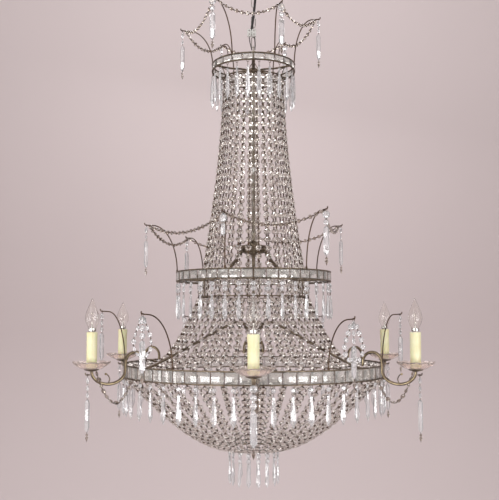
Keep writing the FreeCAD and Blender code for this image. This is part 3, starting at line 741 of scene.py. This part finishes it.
# Pendants: octagons and prism width for a drop longer than the limit; loops are (aside, depth)
pendantValues = {
    "eye": 0.0034, "eyeWire": 0.0006, "start": 0.0050, "pin": 0.0030, "tail": 0.021, "tip": 0.0100,
    "prismThick": 0.0115, "twist": 38,
    "kinds": [{"limit": 0.15, "octagons": (0.0165, 0.0140, 0.0140), "wide": 0.0150},
              {"limit": 0.10, "octagons": (0.0180, 0.0135), "wide": 0.0150},
              {"limit": 0.0, "octagons": (0.0210,), "wide": 0.0125}],
    "loop": [(0.003, 0.010), (0.014, 0.030), (0.025, 0.060), (0.021, 0.083), (0.007, 0.094)],
}


def pendantPiece(name, azimuth, radius, height, drop, body, loops=False):
    # A wire eye, its octagons, a long prism and a dark tip
    work = startWork()
    place = spotAt(azimuth, radius, height) @ spin(90)
    twist = wobble(pendantValues["twist"])
    kind = next(kind for kind in pendantValues["kinds"] if drop > kind["limit"])
    eye = wireLoop(pendantValues["eye"], pendantValues["eyeWire"], 12)
    addForm(work, eye, place @ down(0.0012), 1)
    depth, tail = pendantValues["start"], pendantValues["tail"]
    for size in kind["octagons"]:
        addForm(work, octagonBead(size, size * 0.42), place @ twist @ down(depth + size / 2), 0)
        depth += size
        addForm(work, pinForm(0.0050), place @ down(depth + 0.0015), 1)
        depth += pendantValues["pin"]
    glass = drop - depth - tail - 0.004
    prism = cutProfile(glass, kind["wide"], pendantValues["prismThick"], cutValues["long"])
    addForm(work, prism, place @ twist @ down(depth), 0)
    depth += glass
    addForm(work, pinForm(0.0055), place @ down(depth + 0.002), 1)
    arrow = cutProfile(tail, pendantValues["tip"], pendantValues["tip"], cutValues["arrow"], 8)
    addForm(work, arrow, place @ twist @ down(depth + 0.004), 2)
    for side in (-1, 1) if loops else ():
        # Bead loops that open beside the prism and meet again below it
        line = smoothLine([Vector((side * aside, 0, -fall)) for aside, fall in pendantValues["loop"]])
        addStrand(work, [place @ p for p in line], place.to_3x3() @ Vector((1, 0, 0)), **swagValues["loop"])
    makePiece(name + "Cut", work, [prismFinish, wireFinish, smokyFinish], [name], (1,), body)


for tier, values in tierTips.items():
    node = "main_branches" if tier == "ring" else tier + "_branches"
    radius, base = radii[tier], levels[tier + "Top"]
    branchWires(node, radius, base, values["tips"], values["curls"])
    for k, (azimuth, out, rise) in enumerate(values["tips"]):
        drop = shortDrop if tier == "waist" and k == 0 else values["drop"]
        name = tier + "_pendant_" + str(k + 1)
        tip = radius + out / 1000 - branchValues["pendantTip"]
        pendantPiece(name, azimuth, tip, base + rise / 1000, drop, name, tier == "ring" and k in (0, 1))


def polar(azimuth, radius, height):
    t = math.radians(azimuth)
    return Vector((radius * math.sin(t), -radius * math.cos(t), height))


def tierSwag(work, start, end):
    line = slack(start, end, swagSags["tier"])
    across = (Vector(end) - Vector(start)).cross(Vector((0, 0, 1))).normalized()
    addStrand(work, line, across.cross(Vector((0, 0, 1))) * -1, **swagValues["tier"])


def garlandPiece():
    work = startWork()
    for tier in ("crown", "waist"):
        radius, base = radii[tier], levels[tier + "Top"]
        ends = [polar(azimuth, radius + out / 1000 - branchValues["swagTip"], base + rise / 1000 - 0.0016)
                for azimuth, out, rise in tierTips[tier]["tips"]]
        for start, end in zip(ends, ends[1:] + ends[:1]):
            tierSwag(work, start, end)
    # One swag beside each arm, from under its cup to the outside of the main ring
    for k in range(strapValues["count"]):
        place = turn(k * 360.0 / strapValues["count"])
        start = place @ Vector((0.3490, 0.0075, levels["ringLow"] + 0.002))
        end = place @ Vector((0.4415, 0.0075, levels["cupTop"] - 0.003))
        line = slack(start, end, swagSags["arm"])
        addStrand(work, line, place.to_3x3() @ Vector((0, 1, 0)), **swagValues["arm"])
    makePiece("garlandBeads", work, [smokyFinish, wireFinish], ["garlands"], (1,))


garlandPiece()
print("stage 7: branches, pendants and swags")

armValues = {"count": 6, "thick": 0.0040, "hump": 0.025, "dip": 0.032, "rib": 0.0013, "tendril": 0.0014, "hook": 0.0015}
candleSpots = [spotAt(k * 60.0, radii["candle"]) for k in range(armValues["count"])]


def armLine():
    # Up over the hump on the main ring, then down and out through the bow to the cup
    hump = armValues["hump"]
    humpMid = radii["ring"] - 0.007
    bowMid = (humpMid + hump + radii["candle"]) / 2
    bowHalf = radii["candle"] - bowMid
    bowTop = levels["cupTop"] - 0.003
    line = [(humpMid - hump, levels["ringTop"])]
    for k in range(0, 12):
        t = math.radians(180 - k * 180 / 11)
        line.append((humpMid + hump * math.cos(t), levels["ringTop"] + 0.010 + hump * math.sin(t)))
    for k in range(1, 16):
        t = math.radians(180 + k * 12)
        line.append((bowMid + bowHalf * math.cos(t), bowTop - 0.002 + armValues["dip"] * math.sin(t)))
    line.append((radii["candle"], bowTop))
    return radial(line), bowMid, bowTop - 0.002 - armValues["dip"]


def candleArms():
    line, bowMid, bowLow = armLine()
    one = startWork()
    count, thick = len(line), armValues["thick"]
    sizes = [thick * (0.86 + 0.14 * math.sin(math.pi * i / count)) for i in range(count)]
    addForm(one, tube(line, sizes, 12), None, 0)
    # Gilt ribs along both sides of the bend
    for side in (1, -1):
        rib = [p + Vector((0, side * thick * 0.72, 0)) for p in line]
        addForm(one, tube(rib, armValues["rib"], 6), None, 1)
    # A tendril with a gilt bead inside the bow
    curl = [(0, 0.003), (-0.003, 0.012), (0.001, 0.021), (0.006, 0.024)]
    tendril = smoothLine(radial([(bowMid + out, bowLow + up) for out, up in curl]))
    addForm(one, tube(tendril, armValues["tendril"], 6), None, 0)
    addForm(one, lathe([(0, -0.0032), (0.0026, -0.0018), (0.0032, 0), (0.0026, 0.0018), (0, 0.0032)], 10),
            Matrix.Translation((bowMid + 0.007, 0, bowLow + 0.0245)), 1)
    cup = levels["cupTop"]
    outline = [(0, cup - 0.0060), (0.006, cup - 0.0050), (0.0125, cup - 0.0032), (0.0165, cup - 0.0022),
               (0.018, cup - 0.001), (0.0178, cup - 0.0001), (0, cup - 0.0001)]
    addForm(one, lathe(outline, 28), Matrix.Translation((radii["candle"], 0, 0)), 0)
    # The hook for the pendant under the cup
    face, level = radii["candle"] + 0.0038, levels["hook"]
    hook = [(face, level), (face + 0.009, level), (face + 0.0108, level + 0.0015), (face + 0.0112, level + 0.005)]
    addForm(one, tube(smoothLine(radial(hook)), armValues["hook"], 8), None, 0)
    work = startWork()
    spreadWork(work, one, armValues["count"])
    makePiece("candleArmsMetal", work, [ironFinish, giltFinish], ["candle_arms"], (0, 1))


# Drip dish: radius and height of its underside and its inside, and how deep the lobes are cut
dishValues = {
    "lobes": 10, "radius": 0.0475, "flat": 0.018, "cut": 0.12, "lift": 0.0018,
    "outer": [(0.008, 0.0001), (0.018, 0.0001), (0.026, 0.0022), (0.036, 0.0075), (0.0435, 0.0130), (0.0473, 0.0178)],
    "inner": [(0.0471, 0.019), (0.0458, 0.0186), (0.0424, 0.0155), (0.035, 0.0105), (0.026, 0.0054),
              (0.018, 0.003), (0.008, 0.003)],
}


def dishGlass(lobes, radius, flat, cut, lift, outer, inner):
    rows = []
    for r, h in outer + inner:
        depth = max(0.0, (r - flat) / (radius - flat))
        row = []
        for t in roundTurns(lobes * 8):
            lobe = abs(math.cos(lobes * t / 2))
            size = r * (1 - cut * depth * (1 - lobe) ** 1.5)
            rise = lift * depth ** 2 * (lobe - 1)
            row.append(Vector((size * math.cos(t), size * math.sin(t), levels["cupTop"] + h + rise)))
        rows.append(row)
    form = closedRows(rows)
    work = startWork()
    for spot in candleSpots:
        addForm(work, form, spot)
    makePiece("dripDishGlass", work, [dishFinish], ["drip_dishes"], (0,))


# Candle sleeve: its radius and bore, the unevenness of the wax and the drips down its side
candleValues = {
    "sleeve": 0.0135, "bore": 0.0118, "sides": 40, "wave": 0.00012, "drips": 3, "drip": 0.0006, "dripWide": 0.28,
    "rings": ((0.0, 0.0), (0.002, -0.0001), (0.25, -0.0003), (0.5, -0.0002), (0.75, -0.0003), (0.9, -0.0002),
             (0.975, 0.0), (1.0, -0.0006)),
}


def candleSleeve(sleeve, bore, sides, wave, drips, drip, dripWide, rings):
    foot, top = levels["dishFloor"], levels["sleeveTop"]
    ways = [chance.uniform(0, 6.28) for _ in range(3)]
    runs = [(chance.uniform(0, 6.28), chance.uniform(0.010, 0.030)) for _ in range(drips)]
    rows = []
    for h, grow in rings:
        height = foot + (top - foot) * h
        running = [way for way, run in runs if top - height < run]
        row = []
        for t in roundTurns(sides):
            uneven = sum(math.cos((i + 2) * t + way) for i, way in enumerate(ways)) * wave
            bead = sum(max(0.0, 1 - abs(math.remainder(t - way, 6.2832)) / dripWide) for way in running)
            size = sleeve + grow + uneven * min(1, h * 4) + drip * bead - 0.0005
            row.append(Vector((size * math.cos(t), size * math.sin(t), height)))
        rows.append(row)
    rows.append(circleRow(bore, top - 0.0004, sides))
    rows.append(circleRow(bore, foot, sides))
    return closedRows(rows)


def candles():
    work = startWork()
    for spot in candleSpots:
        addForm(work, candleSleeve(**candleValues), spot)
    makePiece("candleWax", work, [waxFinish], ["candle_sleeves"], (0,))


def sockets():
    # A stem and a lamp holder inside each sleeve, and a wire clip round it
    work = startWork()
    top = levels["sleeveTop"]
    foot = [(0.0063, levels["cupTop"]), (0.0065, top - 0.058), (0.0095, top - 0.057), (0.0103, top - 0.055),
            (0.0103, top - 0.0237), (0.0072, top - 0.0236)]
    wall = [(0.0072, top - 0.0235), (0.0103, top - 0.0235), (0.0105, top - 0.006), (0.0098, top - 0.0032),
            (0.0076, top - 0.0032)]
    clip = [(0.0106, top - 0.011), (0.0116, top - 0.010), (0.0116, top - 0.0045), (0.0106, top - 0.0035)]
    for spot in candleSpots:
        addForm(work, lathe(foot, 24), spot, 0)
        addForm(work, latheRing(wall, 24), spot, 0)
        addForm(work, latheRing(clip, 24), spot, 1)
    makePiece("lampSocketBody", work, [socketFinish, wireFinish], ["lamp_sockets"], (0, 1))


# Candle bulb: radius and height above its seat for the glass, the cap's ends and the mount
bulbValues = {
    "glass": [(0.0082, 0.005), (0.0092, 0.0085), (0.0120, 0.014), (0.0152, 0.021), (0.0172, 0.028), (0.0175, 0.033),
              (0.0168, 0.040), (0.0150, 0.047), (0.0122, 0.054), (0.0092, 0.061), (0.0062, 0.068), (0.0036, 0.074),
              (0.0018, 0.079), (0, 0.0815)],
    "wall": 0.0008,
    "contact": [(0, -0.0238), (0.0030, -0.0236), (0.0046, -0.0205)],
    "threads": 7, "threadPitch": 0.0027,
    "collar": [(0.0064, 0.0005), (0.0092, 0.0014), (0.0099, 0.0042), (0.0099, 0.0076), (0.0090, 0.0084), (0, 0.0080)],
    "mount": [(0, 0.0080), (0.0042, 0.0082), (0.0030, 0.0120), (0.0016, 0.0200), (0.0022, 0.0225), (0, 0.0235)],
    "leadWire": 0.00035, "coilWire": 0.0003, "coil": 0.0009, "coilHalf": 0.0058,
    "coilSteps": 60, "coilBow": 0.005, "turning": 44,
}


def bulbPiece(body, spot, glass, wall, contact, threads, threadPitch, collar, mount, leadWire, coilWire, coil,
              coilHalf, coilSteps, coilBow, turning):
    seat = levels["sleeveTop"] + 0.001
    work = startWork()
    inner = [(0, 0.0788), (0.0010, 0.0770)] + [(r - wall, h) for r, h in reversed(glass[:-2])]
    addForm(work, latheRing([(r, seat + h) for r, h in glass + inner], 28), spot, 0)
    cap = list(contact)
    for n in range(threads):
        rise = n * threadPitch
        cap += [(0.0058, -0.0195 + rise), (0.0064, -0.0182 + rise)]
    cap += collar
    addForm(work, lathe([(r, seat + h) for r, h in cap], 24), spot, 1)
    # Glass mount and filament inside the bulb
    addForm(work, lathe([(r, seat + h) for r, h in mount], 12), spot, 1)
    for side in (-1, 1):
        lead = [Vector((0, side * out, seat + up)) for out, up in ((0.0014, 0.018), (0.0040, 0.026), (coilHalf, 0.040))]
        addForm(work, tube(smoothLine(lead), leadWire, 5), spot, 2)
    line = []
    for n in range(coilSteps + 1):
        t = n / coilSteps
        height = seat + 0.040 + coil * math.sin(t * turning) + coilBow * math.sin(math.pi * t)
        line.append(Vector((coil * math.cos(t * turning), -coilHalf + 2 * coilHalf * t, height)))
    addForm(work, tube(line, coilWire, 4), spot, 2)
    finishes = [bulbFinish, capFinish, filamentFinish]
    makePiece(body + "Lamp", work, finishes, [body], (0, 1, 2), body)


candleArms()
dishGlass(**dishValues)
candles()
sockets()
dishPendant = {"radius": 0.45925, "height": levels["hook"], "drop": 0.160}
for k, place in enumerate(places):
    bulbPiece("bulb_" + place, candleSpots[k], **bulbValues)
    name = "dish_pendant_" + place
    pendantPiece(name, k * 60.0, body=name, **dishPendant)
print("stage 8: candle arms, dishes, candles and bulbs")

chainValues = {"links": 6, "step": 0.029, "half": 0.0054, "wire": 0.0015}


def chainPiece(links, step, half, wire):
    work = startWork()
    for n in range(links):
        top = levels["chainTop"] - n * step + wire
        low = levels["chainTop"] - (n + 1) * step - wire
        line = []
        for start, middle in ((0, top - half), (180, low + half)):
            for k in range(13):
                t = math.radians(start + k * 15)
                line.append(Vector((half * math.cos(t), 0, middle + half * math.sin(t))))
        addForm(work, tube(line, wire, 8, closed=True), spin(90 if n % 2 == 0 else 0))
    makePiece("chainLinksRound", work, [steelFinish], ["chain_links"], (0,), "chain")


def flexPiece():
    # Route of the flex, from the clamp down to the screw block
    route = [(0.00625, -0.0145, -0.0551), (0.003, -0.0145, -0.0941), (-0.002, -0.0145, -0.1341),
             (-0.00542, -0.0145, -0.1581)]
    curve = bpy.data.curves.new("flexLead", "CURVE")
    curve.dimensions = "3D"
    spline = curve.splines.new("NURBS")
    spline.points.add(len(route) - 1)
    for point, spot in zip(spline.points, route):
        point.co = (*spot, 1.0)
    spline.order_u = 3
    spline.use_endpoint_u = True
    spline.resolution_u = 16
    curve.bevel_depth = 0.0035
    curve.bevel_resolution = 5
    curve.use_fill_caps = True
    curve.materials.append(flexFinish)
    lead = addObject("flexLead", curve)
    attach(lead, "chain")
    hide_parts("flex")


blockValues = {
    "x": -0.005, "y": -0.0145, "top": -0.1551, "low": -0.1761, "wide": 0.0118, "thick": 0.0138, "edge": 0.0022,
    "apart": 0.0063, "screwRise": 0.0052, "lead": 0.0012,
    "screw": [(0, -0.0005), (0.0021, -0.0005), (0.0023, 0.0002), (0.0021, 0.0009), (0, 0.0009)],
}


def blockPiece(x, y, top, low, wide, thick, edge, apart, screwRise, lead, screw):
    # Screw block in two halves, each with its screws and a dark lead that bows down into the stem
    middle = Vector((x, y, (top + low) / 2))
    work = startWork()
    half = plaqueForm(wide, top - low, thick, edge)
    head = lathe(screw, 12)
    for side in (-1, 1):
        centre = middle + Vector((side * apart, 0, 0))
        addForm(work, half, Matrix.Translation(centre), 0)
        for rise in (-screwRise, screwRise):
            spot = Matrix.Translation(centre + Vector((0, -0.0066, rise)))
            addForm(work, head, spot @ spin(90, "X"), 1)
        start = Vector((x + side * 0.007, y, low + 0.003))
        end = Vector((side * 0.0042, -0.0050, levels["eye"] - 0.0058))
        line = smoothLine([start, start.lerp(end, 0.45) + Vector((side * 0.0012, -0.0010, 0)), end])
        addForm(work, tube(line, lead, 8), None, 2)
    addForm(work, plaqueForm(0.003, (top - low) * 0.5, 0.009, 0.0006), Matrix.Translation(middle), 0)
    finishes = [blockFinish, steelFinish, flexFinish]
    makePiece("screwBlock", work, finishes, ["terminal_block"], (1, 2), "chain")


chainPiece(**chainValues)
flexPiece()
blockPiece(**blockValues)
dress("hanging_ring", steelFinish)
dress("flex_clamp", blockFinish)
print("stage 9: chain and flex")

roomValues = {"wall": (0.61, 0.527, 0.527), "floor": -2.25, "back": 2.2, "high": 2.5, "bend": 1.2,
              "worldLight": 0.44}
# Lamps: where each stands, what it faces, its width and height, and its watts
lampValues = {
    "keyBox": ((-1.6, -2.0, 0.5), (0, 0, -0.8), (1.7, 1.7), 16),
    "fillBox": ((1.9, -1.5, -0.2), (0, 0, -0.9), (1.2, 1.6), 7),
    "lowLeftBox": ((-1.02, -1.62, -1.32), (0, 0, -1.12), (0.95, 0.55), 13.0),
    "lowRightBox": ((1.14, -1.54, -1.32), (0, 0, -1.12), (0.95, 0.55), 13.5),
    "tallSideBox": ((-1.75, -0.60, -1.40), (0, 0, -1.20), (0.30, 1.20), 6.0),
    "backStrip": ((0.3, 1.4, 0.9), (0, 0, -0.8), (1.8, 0.7), 14),
    "wallWash": ((0.0, 0.4, 1.7), (0, 2.2, -1.0), (3.4, 0.8), 31),
}
cameraValues = {"place": (0.0, -2.150, -0.946), "tilt": 94.8, "turn": 0.29, "lens": 57.28}


def seenThroughBehind(paint):
    # From behind or below, the sweep lets the chandelier be seen
    tree = paint.node_tree
    output = next(node for node in tree.nodes if node.type == "OUTPUT_MATERIAL")
    shader = output.inputs["Surface"].links[0].from_node
    kinds = ("ShaderNodeNewGeometry", "ShaderNodeBsdfTransparent", "ShaderNodeMixShader")
    side, clear, mix = (tree.nodes.new(kind) for kind in kinds)
    joinNodes(tree, (side, "Backfacing", mix, 0), (shader, "BSDF", mix, 1), (clear, 0, mix, 2),
              (mix, 0, output, "Surface"))


def backdrop():
    # A plain floor that sweeps up into a wall far behind
    floor, back, bend = (roomValues[key] for key in ("floor", "back", "bend"))
    profile = [(-4.0, floor), (back - bend, floor)]
    for k in range(1, 13):
        t = math.radians(k * 7.5)
        profile.append((back - bend + bend * math.sin(t), floor + bend - bend * math.cos(t)))
    profile.append((back, roomValues["high"]))
    points = [Vector((x, y, z)) for y, z in profile for x in (-5, 5)]
    faces = [(2 * k, 2 * k + 1, 2 * k + 3, 2 * k + 2) for k in range(len(profile) - 1)]
    mesh = bpy.data.meshes.new("paleSweep")
    mesh.from_pydata(points, [], faces)
    mesh.polygons.foreach_set("use_smooth", [True] * len(faces))
    paint = finish("palePaint", roomValues["wall"], tuple(c * 1.03 for c in roomValues["wall"]), 0.9,
                   cloud=0.6, depth=0.02, roughSpread=0.0)
    seenThroughBehind(paint)
    mesh.materials.append(paint)
    sweep = addObject("paleSweep", mesh)


def lamp(name, spot, target, size, power):
    light = bpy.data.lights.new(name, "AREA")
    light.shape = "RECTANGLE"
    light.size, light.size_y = size
    light.energy = power
    holder = addObject(name, light)
    holder.location = spot
    holder.rotation_euler = (Vector(target) - Vector(spot)).to_track_quat("-Z", "Y").to_euler()


def world():
    # Dim light from all round; the camera, mirrors and glass see the wall's colour instead
    sky = bpy.data.worlds.new("paleWorld")
    bpy.context.scene.world = sky
    sky.use_nodes = True
    tree, nodes = sky.node_tree, sky.node_tree.nodes
    base, seen = nodes["Background"], nodes.new("ShaderNodeBackground")
    setInputs(base, {"Color": (1.0, 0.96, 0.95, 1.0), "Strength": roomValues["worldLight"]})
    setInputs(seen, {"Color": (*roomValues["wall"], 1.0)})
    path = nodes.new("ShaderNodeLightPath")
    either, anyRay = nodes.new("ShaderNodeMath"), nodes.new("ShaderNodeMath")
    either.operation = anyRay.operation = "MAXIMUM"
    mix = nodes.new("ShaderNodeMixShader")
    joinNodes(tree, (path, "Is Camera Ray", either, 0), (path, "Is Glossy Ray", either, 1), (either, 0, anyRay, 0),
              (path, "Is Transmission Ray", anyRay, 1), (anyRay, 0, mix, 0), (base, 0, mix, 1), (seen, 0, mix, 2),
              (mix, 0, nodes["World Output"], "Surface"))


def camera():
    eye = bpy.data.cameras.new("photoEye")
    eye.sensor_width = 36.0
    eye.sensor_fit = "HORIZONTAL"
    eye.lens = cameraValues["lens"]
    holder = addObject("photoEye", eye)
    holder.location = cameraValues["place"]
    holder.rotation_euler = (math.radians(cameraValues["tilt"]), 0.0, math.radians(cameraValues["turn"]))
    bpy.context.scene.camera = holder


backdrop()
world()
for name, values in lampValues.items():
    lamp(name, *values)
camera()
bpy.context.scene.view_settings.view_transform = "Standard"
print("stage 10: room, lamps and camera")
